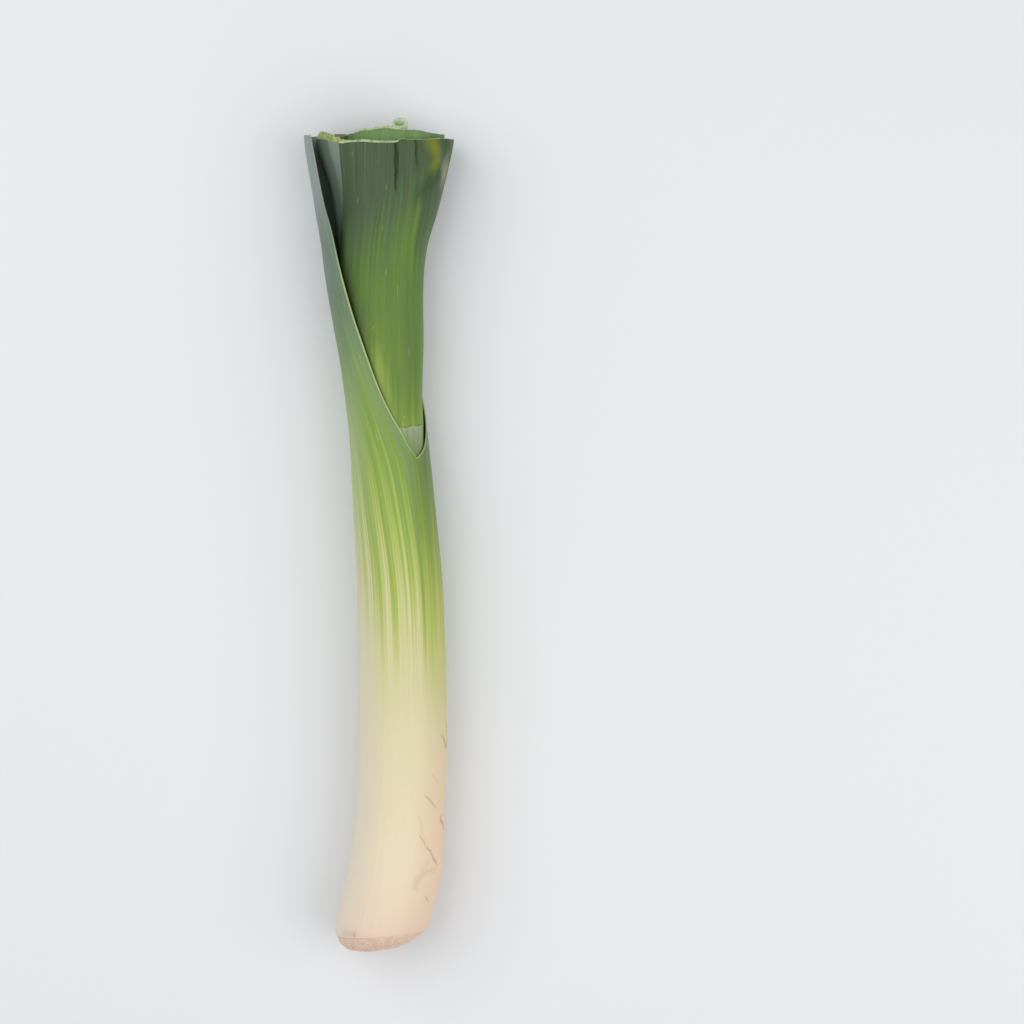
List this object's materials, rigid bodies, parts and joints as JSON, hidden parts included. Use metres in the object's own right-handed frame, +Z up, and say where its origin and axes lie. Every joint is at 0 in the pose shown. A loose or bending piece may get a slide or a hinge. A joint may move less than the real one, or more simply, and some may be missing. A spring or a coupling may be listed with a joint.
{
  "type": "leek",
  "caption": "Trimmed leek lying on its back: a white shaft of nested leaf sheaths on a cut stem disc, opening into a flattened fan of cut green blades.",
  "frame": {"origin": "centre of the footprint on the surface that the leek lies on", "axes": "+Y along the leek from the root end to the cut leaves, +Z up from the surface, +X to the right of someone who looks down with the root end nearest"},
  "size_m": [0.0501, 0.2754, 0.0315],
  "materials": {
    "stem_disc": "matt cut stem disc, pale tan with a pinkish cast",
    "outer_leaf": "waxy cream sheath that turns lime and then grey-green in the blade, with fine lengthwise veins",
    "leaf": "waxy dark green blade with a grey bloom and fine lengthwise veins",
    "inner_leaf": "smooth light green leaf",
    "heart": "smooth pale yellow-green rolled leaves"
  },
  "bodies": {
    "root": {"root_plate": "stem_disc", "leaf_1": "outer_leaf", "leaf_2": "leaf", "leaf_3": "leaf", "leaf_4": "leaf", "leaf_5": "inner_leaf", "leaf_6": "inner_leaf", "leaf_7": "inner_leaf", "heart": "heart"}
  },
  "joints": []
}
